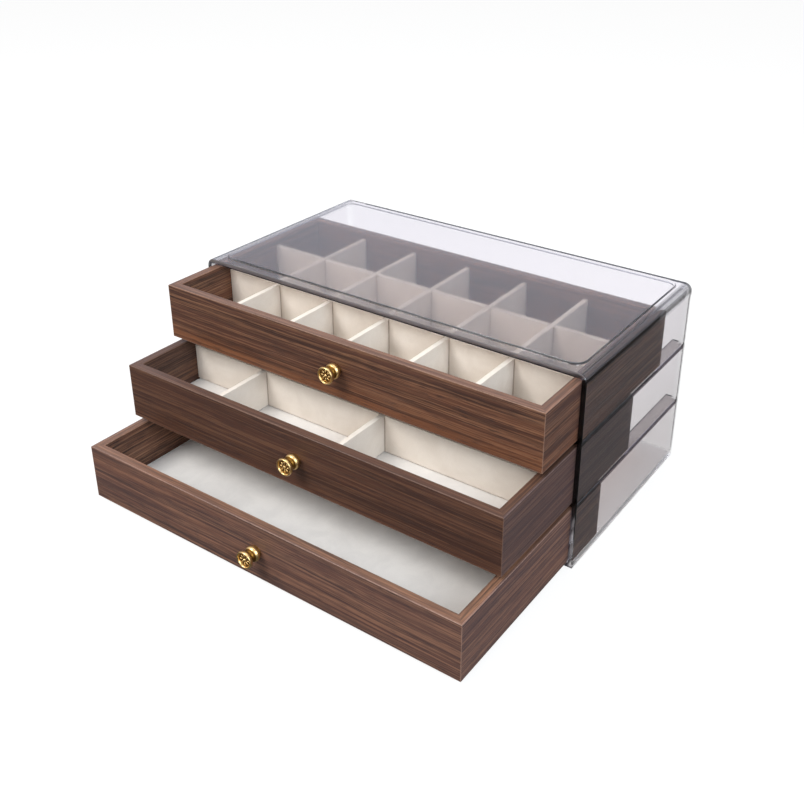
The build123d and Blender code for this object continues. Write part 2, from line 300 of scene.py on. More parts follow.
# How many lumps of each pattern come in a metre, along the grain and both ways across it
GRAIN_SCALES = {
    "Drift": (9.0, 30.0, 30.0), "Band": (2.2, 170.0, 170.0), "Streak": (9.0, 780.0, 780.0),
    "Ring": (1.8, 300.0, 300.0), "Pore": (90.0, 2600.0, 2600.0), "Warmth": (5.0, 60.0, 60.0)}
GRAIN_SWAY = 2.4 * MM
RING_COUNT = 5.0
FRONT_GRAIN = {"Streak": 0.80, "Line": 0.7, "Pore": 0.8}
SIDE_GRAIN = {"Streak": 0.95, "Line": 0.9, "Pore": 0.95}
WARM_PATCHES = 0.3
STRIP_SOLID = 4.5 * MM
STRIP_HEIGHT = 15 * MM
STRIP_IN_DARK_BANDS = 0.35
RUB_WIDTH = 0.55 * MM
RUB_STRENGTH = 0.7
RUB_RAGGEDNESS = 700.0
# Painted highlight on the top edge of each wall.
TOP_EDGE_PAINTED_HIGHLIGHT = 0.18
FOIL_ROUGHNESS = (0.55, 0.42)
STREAK_RELIEF = 0.4
FOIL_RELIEF = 0.05 * MM
FOIL_DEPTH = {"bottom": 0.0, "middle": 0.54, "top": 0.14}
FOIL_WARM_STRIP = {"bottom": 0.1, "middle": 0.2, "top": 0.6}
FRONT_PAINTED_SHEEN = {"bottom": 0.10, "middle": 0.0, "top": 0.0}
SIDE_PAINTED_SHEEN = {"bottom": 0.18, "middle": 0.16, "top": 0.05}


def wood_grain():
    """Straight walnut grain along X: broad bands, fine streaks, long dark lines, and short dark pores."""
    outputs = {"Band": "Float", "Streak": "Float", "Line": "Float", "Pore": "Float", "Warmth": "Float"}
    group, start, end = new_group("wood_grain", {"Place": "Vector"}, outputs)
    place = start.outputs["Place"]
    drift = noise(group, stretched(group, place, GRAIN_SCALES["Drift"]), 1.0, 2.0)
    sway = maths(group, "MULTIPLY", maths(group, "SUBTRACT", drift, 0.5), GRAIN_SWAY)
    swayed = put(group, "ShaderNodeCombineXYZ", {0: 0.0, 1: sway, 2: sway}).outputs[0]
    line = put(group, "ShaderNodeVectorMath", {0: place, 1: swayed}, operation="ADD").outputs[0]
    band = noise(group, stretched(group, line, GRAIN_SCALES["Band"]), 1.0, 5.0, 0.66)
    group.links.new(spread(group, band, 0.36, 0.60), end.inputs["Band"])
    streak = noise(group, stretched(group, line, GRAIN_SCALES["Streak"]), 1.0, 4.0, 0.75)
    group.links.new(spread(group, streak, 0.44, 0.60), end.inputs["Streak"])
    ring = noise(group, stretched(group, line, GRAIN_SCALES["Ring"], (0.7, 0.4, 0.1)), 1.0, 2.0)
    ring = maths(group, "FRACT", maths(group, "MULTIPLY", ring, RING_COUNT))
    level = maths(group, "ABSOLUTE", maths(group, "SUBTRACT", ring, 0.5))
    group.links.new(spread(group, level, 0.0, 0.16, 1.0, 0.0), end.inputs["Line"])
    pore = noise(group, stretched(group, line, GRAIN_SCALES["Pore"]), 1.0, 2.0)
    group.links.new(spread(group, pore, 0.56, 0.70), end.inputs["Pore"])
    warmth = noise(group, stretched(group, line, GRAIN_SCALES["Warmth"], (0.3, 0.1, 0.2)), 1.0, 2.0)
    group.links.new(spread(group, warmth, 0.45, 0.75), end.inputs["Warmth"])
    return group


def edge_rub():
    """Rubbed edges of a board, found from the board's own two corners: the nearer to an edge, the paler."""
    inputs = {"Place": "Vector", "Low Corner": "Vector", "High Corner": "Vector", "Width": "Float"}
    group, start, end = new_group("edge_rub", inputs, {"Rub": "Float"})
    gaps = []
    for first, second in (("Place", "Low Corner"), ("High Corner", "Place")):
        ends = {0: start.outputs[first], 1: start.outputs[second]}
        gaps.append(put(group, "ShaderNodeVectorMath", ends, operation="SUBTRACT").outputs[0])
    near = put(group, "ShaderNodeVectorMath", dict(enumerate(gaps)), operation="MINIMUM").outputs[0]
    x, y, z = put(group, "ShaderNodeSeparateXYZ", {0: near}).outputs
    middle = maths(group, "MAXIMUM", maths(group, "MINIMUM", x, y),
                   maths(group, "MINIMUM", maths(group, "MAXIMUM", x, y), z))
    ragged = noise(group, start.outputs["Place"], RUB_RAGGEDNESS, 4.0, 0.7)
    reach = maths(group, "MULTIPLY", spread(group, ragged, 0.3, 0.7, 0.35, 1.3), start.outputs["Width"])
    share = maths(group, "DIVIDE", middle, reach)
    group.links.new(spread(group, share, 0.3, 1.0, 1.0, 0.0), end.inputs["Rub"])
    return group


GRAIN = wood_grain()
RUB = edge_rub()


def walnut_veneer(node, turn, shift, depth, strip, painted_sheen):
    """Satin walnut foil for one wall. turn sets the way of its grain, shift which stretch of foil it got,
    depth how much darker that stretch is than the palest, strip how strong the warm stripe at its foot is,
    and the last how much grey is painted over its outer face, as a painted sheen reflecting the room."""
    material, tree = new_material("walnut_" + node)
    place = put(tree, "ShaderNodeTexCoord").outputs["Object"]
    along = stretched(tree, place, (1.0, 1.0, 1.0), shift, (0.0, 0.0, math.radians(turn)))
    grain = put(tree, "ShaderNodeGroup", {"Place": along}, node_tree=GRAIN).outputs
    strength = SIDE_GRAIN if turn else FRONT_GRAIN
    low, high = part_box(node)
    corners = {"Place": place, "Low Corner": low, "High Corner": high, "Width": RUB_WIDTH}
    wear_and_highlight = put(tree, "ShaderNodeGroup", corners, node_tree=RUB).outputs[0]
    x, y, height = put(tree, "ShaderNodeSeparateXYZ", {0: place}).outputs
    outside = maths(tree, "ABSOLUTE", x if turn else y)
    face = max(abs(low.x), abs(high.x)) if turn else abs(low.y)

    colour = mixed(tree, grain["Band"], WALNUT_DARK, WALNUT_MIDDLE)
    colour = mixed(tree, maths(tree, "MULTIPLY", grain["Streak"], strength["Streak"]), colour, WALNUT_LIGHT)
    stripe = spread(tree, height, low.z + STRIP_SOLID, low.z + STRIP_HEIGHT, 1.0, 0.0)
    banded = spread(tree, grain["Band"], 0.0, 1.0, STRIP_IN_DARK_BANDS * strip, strip)
    warmth = maths(tree, "MAXIMUM", maths(tree, "MULTIPLY", grain["Warmth"], WARM_PATCHES),
                   maths(tree, "MULTIPLY", stripe, banded))
    colour = mixed(tree, warmth, colour, WALNUT_WARM)
    colour = mixed(tree, maths(tree, "MULTIPLY", grain["Line"], strength["Line"]), colour, WALNUT_DARK)
    colour = mixed(tree, maths(tree, "MULTIPLY", grain["Pore"], strength["Pore"]), colour, WALNUT_PORE)
    # Painted highlight: the top edge is made paler, mixed in with the rubbed wear.
    top_edge = zone(tree, {"height": height}, [("height", high.z, -0.5, -0.2)])
    wear_and_highlight = maths(tree, "MAXIMUM", maths(tree, "MULTIPLY", wear_and_highlight, RUB_STRENGTH),
                maths(tree, "MULTIPLY", top_edge, TOP_EDGE_PAINTED_HIGHLIGHT))
    colour = mixed(tree, wear_and_highlight, colour, WALNUT_WEAR_AND_HIGHLIGHT)
    colour = mixed(tree, depth, colour, WALNUT_DARK)
    # Painted sheen: grey over the outer face of the wall.
    outer_face = zone(tree, {"outside": outside}, [("outside", face, -1.5, -0.5)])
    colour = mixed(tree, maths(tree, "MULTIPLY", outer_face, painted_sheen), colour, WALNUT_PAINTED_SHEEN)
    relief = maths(tree, "SUBTRACT", maths(tree, "MULTIPLY", grain["Streak"], STREAK_RELIEF), grain["Pore"])
    principled(tree, Base_Color=colour, Roughness=spread(tree, grain["Streak"], 0.0, 1.0, *FOIL_ROUGHNESS),
               Specular_IOR_Level=0.4, Normal=bumped(tree, relief, FOIL_RELIEF))
    return material


for level, drawer in enumerate(DRAWERS):
    for number, (wall, turn) in enumerate(WALL_GRAIN_TURNS.items()):
        node = f"{drawer}_{wall}"
        shift = (0.37 * number + 0.11 * level, 0.053 * level, 0.021 * number)
        painted_sheen = (SIDE_PAINTED_SHEEN if turn else FRONT_PAINTED_SHEEN)[drawer]
        finish(node, walnut_veneer(node, turn, shift, FOIL_DEPTH[drawer], FOIL_WARM_STRIP[drawer], painted_sheen))


# A thin board closes the underside of each drawer, held in a groove that runs round the four walls.
# It is smooth hardboard, brown and finely speckled.
HARDBOARD = shade(134, 106, 82)
HARDBOARD_FIBRE = shade(98, 74, 56)
HARDBOARD_FLECK = shade(168, 140, 112)
HARDBOARD_FIBRES = (900.0, 1600.0, 1200.0)
HARDBOARD_MOTTLES = 40.0
HARDBOARD_FLECKS = 2400.0
FLECK_SHARE = 0.6
MOTTLE_SHARE = 0.3
HARDBOARD_ROUGHNESS = (0.62, 0.8)
HARDBOARD_RELIEF = 0.06 * MM


def hardboard():
    """Pressed wood fibre: speckled at a millimetre, mottled at a finger's width."""
    material, tree = new_material("hardboard")
    place = put(tree, "ShaderNodeTexCoord").outputs["Object"]
    fibre = noise(tree, stretched(tree, place, HARDBOARD_FIBRES), 1.0, 4.0, 0.7, 0.8)
    mottle = noise(tree, place, HARDBOARD_MOTTLES)
    fleck = spread(tree, noise(tree, place, HARDBOARD_FLECKS, 2.0), 0.64, 0.72, 0.0, FLECK_SHARE)
    colour = mixed(tree, spread(tree, fibre, 0.35, 0.65), HARDBOARD_FIBRE, HARDBOARD)
    colour = mixed(tree, fleck, colour, HARDBOARD_FLECK)
    colour = mixed(tree, spread(tree, mottle, 0.3, 0.8, 0.0, MOTTLE_SHARE), colour, HARDBOARD_FIBRE)
    principled(tree, Base_Color=colour, Roughness=spread(tree, fibre, 0.3, 0.7, *HARDBOARD_ROUGHNESS),
               Normal=bumped(tree, fibre, HARDBOARD_RELIEF))
    return material


BOARD_FINISH = hardboard()
for drawer in DRAWERS:
    finish(f"{drawer}_bottom_board", BOARD_FINISH)


# Felt on card lines the floor of each tray. It is cut a little smaller than the tray and laid in,
# so its cut edge is soft and its nap is never quite even.
LINING_COLOUR = shade(239, 234, 228)
LINING_SHADOW = shade(217, 212, 207)
LINING_EDGE = 0.5 * MM
LINING_CELL = 2.2 * MM
NAP_WAVE = 0.06 * MM
NAP_CREST = 1.4
FELT_FIBRES = 2200.0
FELT_NAP_PATCHES = 55.0
FELT_RELIEF = 0.12 * MM
FELT_ROUGHNESS = (0.97, 0.88)
NAP_SHADOW_SHARE = 0.55
FIBRE_SHADOW_SHARE = 0.45
# Painted shade: thin dark lines where a board stands on a floor and beside each crossing.
PAINTED_SEAM_SHADE = shade(150, 122, 100)
FOOT_PAINTED_SHADE_SHARE = 0.75
JOINT_PAINTED_SHADE_SHARE = 0.55


def soft_pile():
    """Short pressed felt: a tangle of fine fibres over patches where the nap lies another way."""
    group, start, end = new_group("soft_pile", {"Place": "Vector", "Fibres": "Float"},
                                  {"Fibre": "Float", "Nap": "Float"})
    place, fibres = start.outputs["Place"], start.outputs["Fibres"]
    tangle = noise(group, place, fibres, 5.0, 0.75, 1.4)
    group.links.new(spread(group, tangle, 0.3, 0.7), end.inputs["Fibre"])
    nap = noise(group, place, FELT_NAP_PATCHES, 4.0, 0.6, 0.5)
    group.links.new(spread(group, nap, 0.35, 0.7), end.inputs["Nap"])
    return group


PILE = soft_pile()


def felt(name, colour, shadow, foot=None, joints=None):
    """Pressed felt in one dye, with a faint sheen of fibre ends. A thin dark line of painted shade lies at
    height foot, where it stands on a floor. joints are its crossings with boards set side by side, with such
    a painted line at both faces of each: the first board's place, the step to the next, their number, half a
    thickness."""
    material, tree = new_material(name)
    place = put(tree, "ShaderNodeTexCoord").outputs["Object"]
    x, y, height = put(tree, "ShaderNodeSeparateXYZ", {0: place}).outputs
    pile = put(tree, "ShaderNodeGroup", {"Place": place, "Fibres": FELT_FIBRES}, node_tree=PILE).outputs
    tone = mixed(tree, maths(tree, "MULTIPLY", pile["Nap"], NAP_SHADOW_SHARE), colour, shadow)
    tone = mixed(tree, spread(tree, pile["Fibre"], 0.0, 0.5, FIBRE_SHADOW_SHARE, 0.0), tone, shadow)
    # Painted shade along the foot and beside each crossing board.
    if foot is not None:
        line = zone(tree, {"height": height}, [("height", foot, 0.9, 0.3)])
        tone = mixed(tree, maths(tree, "MULTIPLY", line, FOOT_PAINTED_SHADE_SHARE), tone, PAINTED_SEAM_SHADE)
    if joints is not None:
        first, step, count, half = joints
        nearest = maths(tree, "ROUND", maths(tree, "DIVIDE", maths(tree, "SUBTRACT", x, first), step))
        nearest = maths(tree, "MINIMUM", maths(tree, "MAXIMUM", nearest, 0.0), count - 1.0)
        board = maths(tree, "ADD", maths(tree, "MULTIPLY", nearest, step), first)
        apart = maths(tree, "ABSOLUTE", maths(tree, "SUBTRACT", x, board))
        line = zone(tree, {"apart": apart}, [("apart", half, 0.1, 0.3), ("apart", half, 1.0, 0.7)])
        tone = mixed(tree, maths(tree, "MULTIPLY", line, JOINT_PAINTED_SHADE_SHARE), tone, PAINTED_SEAM_SHADE)
    principled(tree, Base_Color=tone, Roughness=spread(tree, pile["Fibre"], 0.0, 1.0, *FELT_ROUGHNESS),
               Specular_IOR_Level=0.2, Sheen_Weight=0.25, Sheen_Roughness=0.5,
               Normal=bumped(tree, pile["Fibre"], FELT_RELIEF))
    return material


def steps_across(low, high, edge, cell):
    """Places across a soft sheet: close together at its rounded edges and even between."""
    inner = max(2, round((high - low - 2 * edge) / cell))
    rim = [edge * (1 - math.cos(math.radians(a))) for a in (0, 30, 60)]
    flat = [low + edge + (high - low - 2 * edge) * n / inner for n in range(inner + 1)]
    return [low + r for r in rim] + flat + [high - r for r in reversed(rim)]


def nap_height(x, y):
    """The uneven nap at a place: two slow waves across each other, and a faint quick one."""
    wave = math.sin(61 * x + 23 * y) * math.sin(83 * y - 19 * x + 0.7) + 0.4 * math.sin(190 * x + 140 * y)
    return NAP_WAVE * (wave - NAP_CREST) / (2 * NAP_CREST)


def lining_sheet(name, low, high):
    """A laid sheet between two corners: a napped top, rounded at the rim, with sides and a flat back."""
    xs = steps_across(low.x, high.x, LINING_EDGE, LINING_CELL)
    ys = steps_across(low.y, high.y, LINING_EDGE, LINING_CELL)
    shape = bmesh.new()
    rows = []
    for y in ys:
        row = []
        for x in xs:
            inset = min(x - low.x, high.x - x, y - low.y, high.y - y, LINING_EDGE)
            fall = LINING_EDGE - math.sqrt(max(0.0, LINING_EDGE ** 2 - (LINING_EDGE - inset) ** 2))
            nap = nap_height(x, y) * inset / LINING_EDGE
            row.append(shape.verts.new((x, y, high.z - fall + nap)))
        rows.append(row)
    for near, far in zip(rows, rows[1:]):
        for a, b, c, d in zip(near, near[1:], far[1:], far):
            shape.faces.new((a, b, c, d))
    rim = rows[0] + [r[-1] for r in rows[1:]] + rows[-1][-2::-1] + [r[0] for r in rows[-2:0:-1]]
    foot = [shape.verts.new((v.co.x, v.co.y, low.z)) for v in rim]
    for n, vert in enumerate(rim):
        after = (n + 1) % len(rim)
        shape.faces.new((vert, foot[n], foot[after], rim[after]))
    shape.faces.new(list(reversed(foot)))
    return closed_mesh(name, shape)


def closed_mesh(name, shape):
    """The mesh of a closed shape, with its faces turned outwards."""
    bmesh.ops.recalc_face_normals(shape, faces=shape.faces)
    mesh = bpy.data.meshes.new(name)
    shape.to_mesh(mesh)
    shape.free()
    return mesh


def show(name, mesh, material, smooth=40.0):
    """Puts a mesh in the scene as a piece, smooth but for edges sharper than that many degrees."""
    piece = bpy.data.objects.new(name, mesh)
    bpy.context.scene.collection.objects.link(piece)
    mesh.materials.clear()
    mesh.materials.append(material)
    mesh.shade_smooth()
    mesh.set_sharp_from_angle(angle=math.radians(smooth))
    return piece


LINING_FINISH = felt("lining_felt", LINING_COLOUR, LINING_SHADOW)
for drawer in DRAWERS:
    node = f"{drawer}_floor_lining"
    low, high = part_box(node)
    piece = show(f"{drawer}_lining", lining_sheet(f"{drawer}_lining", low, high), LINING_FINISH)
    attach(piece, f"{drawer}_drawer")
    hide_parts(node)


# Stiff boards covered in cream felt divide the top and middle trays. Where two boards cross, each is
# slotted halfway and they slide together, and a thin dark line of painted shade lies beside each board at
# a crossing and along the foot of each board.
BOARD_FELT = shade(236, 225, 212)
BOARD_FELT_SHADOW = shade(217, 203, 188)
BOARD_ROUND = 1.35 * MM
BOARD_ROUND_STEPS = 6
SLOT_PLAY = 0.15 * MM


def boards_tree():
    """Geometry nodes for like boards side by side, each slotted halfway for the boards that cross it."""
    tree = bpy.data.node_groups.new("half_lapped_boards", "GeometryNodeTree")
    sockets = {
        "Length": "Float", "Height": "Float", "Thickness": "Float", "Round": "Float", "Middle": "Vector",
        "Boards": "Int", "Board Step": "Vector", "Turn": "Float", "Slots": "Int", "First Slot": "Float",
        "Slot Step": "Float", "Slot Width": "Float", "Slot Height": "Float", "Slot Middle": "Float",
        "Felt": "Material"}
    for name, kind in sockets.items():
        tree.interface.new_socket(name, in_out="INPUT", socket_type="NodeSocket" + kind)
    tree.interface.new_socket("Geometry", in_out="OUTPUT", socket_type="NodeSocketGeometry")
    given = tree.nodes.new("NodeGroupInput").outputs

    half = maths(tree, "MULTIPLY", given["Length"], -0.5)
    other_half = maths(tree, "MULTIPLY", given["Length"], 0.5)
    start = put(tree, "ShaderNodeCombineXYZ", {0: half}).outputs[0]
    end = put(tree, "ShaderNodeCombineXYZ", {0: other_half}).outputs[0]
    spine = put(tree, "GeometryNodeCurvePrimitiveLine", {"Start": start, "End": end}).outputs[0]
    section = put(tree, "GeometryNodeCurvePrimitiveQuadrilateral",
                  {"Width": given["Thickness"], "Height": given["Height"]}).outputs[0]
    spot = put(tree, "GeometryNodeInputPosition").outputs[0]
    upper = maths(tree, "GREATER_THAN", put(tree, "ShaderNodeSeparateXYZ", {0: spot}).outputs[1], 0.0)
    rounded = maths(tree, "MULTIPLY", upper, given["Round"])
    section = put(tree, "GeometryNodeFilletCurve", {
        "Curve": section, "Count": BOARD_ROUND_STEPS, "Radius": rounded, "Limit Radius": True},
        mode="POLY").outputs[0]
    board = put(tree, "GeometryNodeCurveToMesh", {"Curve": spine, "Profile Curve": section,
                                                  "Fill Caps": True}).outputs[0]

    slot_size = put(tree, "ShaderNodeCombineXYZ", {
        0: given["Slot Width"], 1: maths(tree, "MULTIPLY", given["Thickness"], 2.0),
        2: given["Slot Height"]}).outputs[0]
    cutter = put(tree, "GeometryNodeMeshCube", {"Size": slot_size}).outputs[0]
    first = put(tree, "ShaderNodeCombineXYZ", {0: given["First Slot"], 2: given["Slot Middle"]}).outputs[0]
    step = put(tree, "ShaderNodeCombineXYZ", {0: given["Slot Step"]}).outputs[0]
    places = put(tree, "GeometryNodeMeshLine", {"Count": given["Slots"], "Start Location": first,
                                                "Offset": step}).outputs[0]
    cutters = put(tree, "GeometryNodeInstanceOnPoints", {"Points": places, "Instance": cutter}).outputs[0]
    cutters = put(tree, "GeometryNodeRealizeInstances", {"Geometry": cutters}).outputs[0]
    cut = put(tree, "GeometryNodeMeshBoolean", {0: board, 1: cutters}, operation="DIFFERENCE",
              solver="EXACT").outputs[0]

    row = put(tree, "GeometryNodeMeshLine", {"Count": given["Boards"], "Start Location": given["Middle"],
                                             "Offset": given["Board Step"]}).outputs[0]
    turned = put(tree, "ShaderNodeCombineXYZ", {2: given["Turn"]}).outputs[0]
    boards = put(tree, "GeometryNodeInstanceOnPoints", {"Points": row, "Instance": cut,
                                                        "Rotation": turned}).outputs[0]
    boards = put(tree, "GeometryNodeRealizeInstances", {"Geometry": boards}).outputs[0]
    boards = put(tree, "GeometryNodeSetMaterial", {"Geometry": boards,
                                                   "Material": given["Felt"]}).outputs[0]
    put(tree, "NodeGroupOutput", {0: boards})
    return tree


def grown(name, tree, inputs):
    """The plain mesh that a geometry nodes tree makes with these inputs."""
    holder = bpy.data.objects.new(name, bpy.data.meshes.new(name))
    bpy.context.scene.collection.objects.link(holder)
    modifier = holder.modifiers.new(name, "NODES")
    modifier.node_group = tree
    for item in tree.interface.items_tree:
        if item.in_out == "INPUT" and item.name in inputs:
            modifier[item.identifier] = inputs[item.name]
    depsgraph = bpy.context.evaluated_depsgraph_get()
    mesh = bpy.data.meshes.new_from_object(holder.evaluated_get(depsgraph))
    bpy.data.objects.remove(holder)
    return mesh


def crossing_boards(long_names, cross_names, material):
    """The meshes of a drawer's long and cross boards, with sizes read from the boards they stand for."""
    long_boxes = [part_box(n) for n in long_names]
    cross_boxes = [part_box(n) for n in cross_names]
    long_low, long_high = long_boxes[0]
    cross_low, cross_high = cross_boxes[0]
    height = long_high.z - long_low.z
    thickness = long_high.y - long_low.y
    slot_height = height / 2 + SLOT_PLAY
    centres_x = [(low.x + high.x) / 2 for low, high in cross_boxes]
    centres_y = [(low.y + high.y) / 2 for low, high in long_boxes]
    step_x = centres_x[1] - centres_x[0]
    step_y = centres_y[1] - centres_y[0] if len(centres_y) > 1 else 0.0
    middle_z = long_low.z + height / 2
    middle_y = (cross_low.y + cross_high.y) / 2
    shared = {"Height": height, "Thickness": thickness, "Round": BOARD_ROUND, "Felt": material,
              "Slot Width": thickness + 2 * SLOT_PLAY, "Slot Height": 2 * slot_height}
    longs = grown("long_boards", BOARDS, shared | {
        "Length": long_high.x - long_low.x, "Middle": (0.0, centres_y[0], middle_z),
        "Boards": len(long_names), "Board Step": (0.0, step_y, 0.0), "Turn": 0.0,
        "Slots": len(cross_names), "First Slot": centres_x[0], "Slot Step": step_x,
        "Slot Middle": height / 2})
    crosses = grown("cross_boards", BOARDS, shared | {
        "Length": cross_high.y - cross_low.y, "Middle": (centres_x[0], middle_y, middle_z),
        "Boards": len(cross_names), "Board Step": (step_x, 0.0, 0.0), "Turn": math.radians(90),
        "Slots": len(long_names), "First Slot": centres_y[0] - middle_y, "Slot Step": step_y,
        "Slot Middle": -height / 2})
    return longs, crosses


def crossings(cross_names):
    """Where a drawer's cross boards stand, as the joints of felt()."""
    boxes = [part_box(name) for name in cross_names]
    centres = [(low.x + high.x) / 2 for low, high in boxes]
    low, high = boxes[0]
    return centres[0], centres[1] - centres[0], len(centres), (high.x - low.x) / 2


BOARDS = boards_tree()
for drawer in ("middle", "top"):
    long_names = sorted(n for n in nodes if n.startswith(f"{drawer}_long_divider"))
    cross_names = sorted(n for n in nodes if n.startswith(f"{drawer}_cross_divider"))
    cover = felt(f"{drawer}_divider_felt", BOARD_FELT, BOARD_FELT_SHADOW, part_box(long_names[0])[0].z,
                 crossings(cross_names))
    meshes = crossing_boards(long_names, cross_names, cover)
    for kind, names, mesh in zip(("long", "cross"), (long_names, cross_names), meshes):
        piece = show(f"{drawer}_{kind}_dividers", mesh, cover)
        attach(piece, f"{drawer}_drawer")
        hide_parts(*names)


# Each knob is turned from brass: a rounded foot, a waist, and a head with a raised rim round a pressed
# rosette. The waist and the hollows of the rosette keep some tarnish, and the rest is polished.
BRASS = shade(228, 193, 130)
BRASS_TARNISH = shade(120, 84, 34)
BRASS_ROUGHNESS = (0.28, 0.45)
FOOT_ROUND = 2.45 * MM
WAIST_HOLLOW = 1.35 * MM
HEAD_ROUND = 0.7 * MM
RIM_ROUND = 0.6 * MM
DISH_RADIUS = 4.1 * MM
DISH_DEPTH = 1.35 * MM
KNOB_STEPS = 64
ROSETTE_DEPTH = 1.25 * MM
ROSETTE_SIZES = {
    "Petals": 8, "Petal Length": 1.2 * MM, "Petal Width": 0.8 * MM, "Petal Height": 0.7 * MM,
    "Ring Radius": 2.4 * MM, "Beads": 22, "Bead Radius": 0.28 * MM, "Bead Ring": 3.85 * MM,
    "Boss Radius": 0.95 * MM}
DISH_ZONE = [("depth", 0.0, 0.65, 1.25), ("out", DISH_RADIUS, 0.3, 0.0)]
WAIST_ZONE = [("depth", 0.0, 2.3, 3.0), ("depth", 0.0, 5.6, 4.6)]
WAIST_TARNISH = 0.6
SMUDGE_TARNISH = 0.25
KNOB_SMUDGE_SIZE = 4 * MM
LATHE_LINES = (300.0, 9000.0, 300.0)
LINE_RELIEF = 0.01 * MM


def arc(centre_r, centre_y, radius, start, end, steps):
    """Points of an arc in a turned section, as distances from the axis and from the drawer's face."""
    turns = [math.radians(start + (end - start) * n / steps) for n in range(steps + 1)]
    return [(centre_r + radius * math.cos(t), centre_y + radius * math.sin(t)) for t in turns]


def turned_knob(name, centre, face):
    """A lathe-turned knob. centre is its axis at the drawer's face, and it reaches out to face."""
    length = centre.y - face
    outline = [(0.0, 0.0), (4.0 * MM, 0.0)]
    outline += arc(2.5 * MM, FOOT_ROUND, FOOT_ROUND, -55, 68, 14)
    outline += arc(4.35 * MM, 5.85 * MM, WAIST_HOLLOW, 215, 130, 6)
    outline += [(4.2 * MM, 7.25 * MM), (4.75 * MM, 7.55 * MM)]
    outline += arc(4.75 * MM, length - 1.5 * MM, HEAD_ROUND, -60, 0, 3)
    outline += arc(4.85 * MM, length - RIM_ROUND, RIM_ROUND, 0, 160, 7)
    outline += [(DISH_RADIUS, length - DISH_DEPTH), (0.0, length - DISH_DEPTH)]
    shape = bmesh.new()
    rings = []
    for r, y in outline:
        if r == 0.0:
            rings.append([shape.verts.new((centre.x, centre.y - y, centre.z))])
            continue
        turns = [2 * math.pi * n / KNOB_STEPS for n in range(KNOB_STEPS)]
        spots = [(centre.x + r * math.cos(t), centre.y - y, centre.z + r * math.sin(t)) for t in turns]
        rings.append([shape.verts.new(spot) for spot in spots])
    for near, far in zip(rings, rings[1:]):
        for n in range(KNOB_STEPS):
            a, b = near[n % len(near)], near[(n + 1) % len(near)]
            c, d = far[(n + 1) % len(far)], far[n % len(far)]
            shape.faces.new([v for i, v in enumerate((a, b, c, d)) if v not in (a, b, c, d)[:i]])
    return closed_mesh(name, shape)


def rosette_tree():
    """Geometry nodes for the pressed rosette: a ring of leaf-shaped petals, a ring of beads and a boss."""
    tree = bpy.data.node_groups.new("knob_rosette", "GeometryNodeTree")
    sockets = {"Petals": "Int", "Petal Length": "Float", "Petal Width": "Float", "Petal Height": "Float",
               "Ring Radius": "Float", "Beads": "Int", "Bead Radius": "Float", "Bead Ring": "Float",
               "Boss Radius": "Float", "Middle": "Vector", "Metal": "Material"}
    for name, kind in sockets.items():
        tree.interface.new_socket(name, in_out="INPUT", socket_type="NodeSocket" + kind)
    tree.interface.new_socket("Geometry", in_out="OUTPUT", socket_type="NodeSocketGeometry")
    given = tree.nodes.new("NodeGroupInput").outputs

    def ball(radius, segments, rings):
        inputs = {"Segments": segments, "Rings": rings, "Radius": radius}
        return put(tree, "GeometryNodeMeshUVSphere", inputs).outputs[0]

    def ring_of(instance, count, radius):
        points = put(tree, "GeometryNodeMeshCircle", {"Vertices": count, "Radius": radius}).outputs[0]
        spot = put(tree, "GeometryNodeInputPosition").outputs[0]
        facing = put(tree, "FunctionNodeAlignRotationToVector", {"Vector": spot}, axis="X").outputs[0]
        made = put(tree, "GeometryNodeInstanceOnPoints", {"Points": points, "Instance": instance,
                                                          "Rotation": facing}).outputs[0]
        return put(tree, "GeometryNodeRealizeInstances", {"Geometry": made}).outputs[0]

    leaf = ball(1.0, 20, 12)
    spot = put(tree, "GeometryNodeInputPosition").outputs[0]
    x, y, z = put(tree, "ShaderNodeSeparateXYZ", {0: spot}).outputs
    taper = spread(tree, x, -1.0, 1.0, 0.45, 1.0)
    vein = maths(tree, "MULTIPLY", maths(tree, "ABSOLUTE", y), 0.5)
    lifted = maths(tree, "MULTIPLY", z, maths(tree, "ADD", vein, 0.75))
    leaf_spot = put(tree, "ShaderNodeCombineXYZ", {
        0: maths(tree, "MULTIPLY", x, given["Petal Length"]),
        1: maths(tree, "MULTIPLY", maths(tree, "MULTIPLY", y, taper), given["Petal Width"]),
        2: maths(tree, "MULTIPLY", lifted, given["Petal Height"])}).outputs[0]
    leaf = put(tree, "GeometryNodeSetPosition", {"Geometry": leaf, "Position": leaf_spot}).outputs[0]
    petals = ring_of(leaf, given["Petals"], given["Ring Radius"])
    beads = ring_of(ball(given["Bead Radius"], 10, 6), given["Beads"], given["Bead Ring"])
    boss = ball(given["Boss Radius"], 20, 12)
    joined = put(tree, "GeometryNodeJoinGeometry")
    for part in (boss, beads, petals):
        tree.links.new(part, joined.inputs[0])
    upright = (math.radians(90), 0.0, 0.0)
    placed = put(tree, "GeometryNodeTransform", {"Geometry": joined.outputs[0], "Rotation": upright,
                                                 "Translation": given["Middle"]}).outputs[0]
    placed = put(tree, "GeometryNodeRealizeInstances", {"Geometry": placed}).outputs[0]
    placed = put(tree, "GeometryNodeSetMaterial", {"Geometry": placed,
                                                   "Material": given["Metal"]}).outputs[0]
    put(tree, "NodeGroupOutput", {0: placed})
    return tree


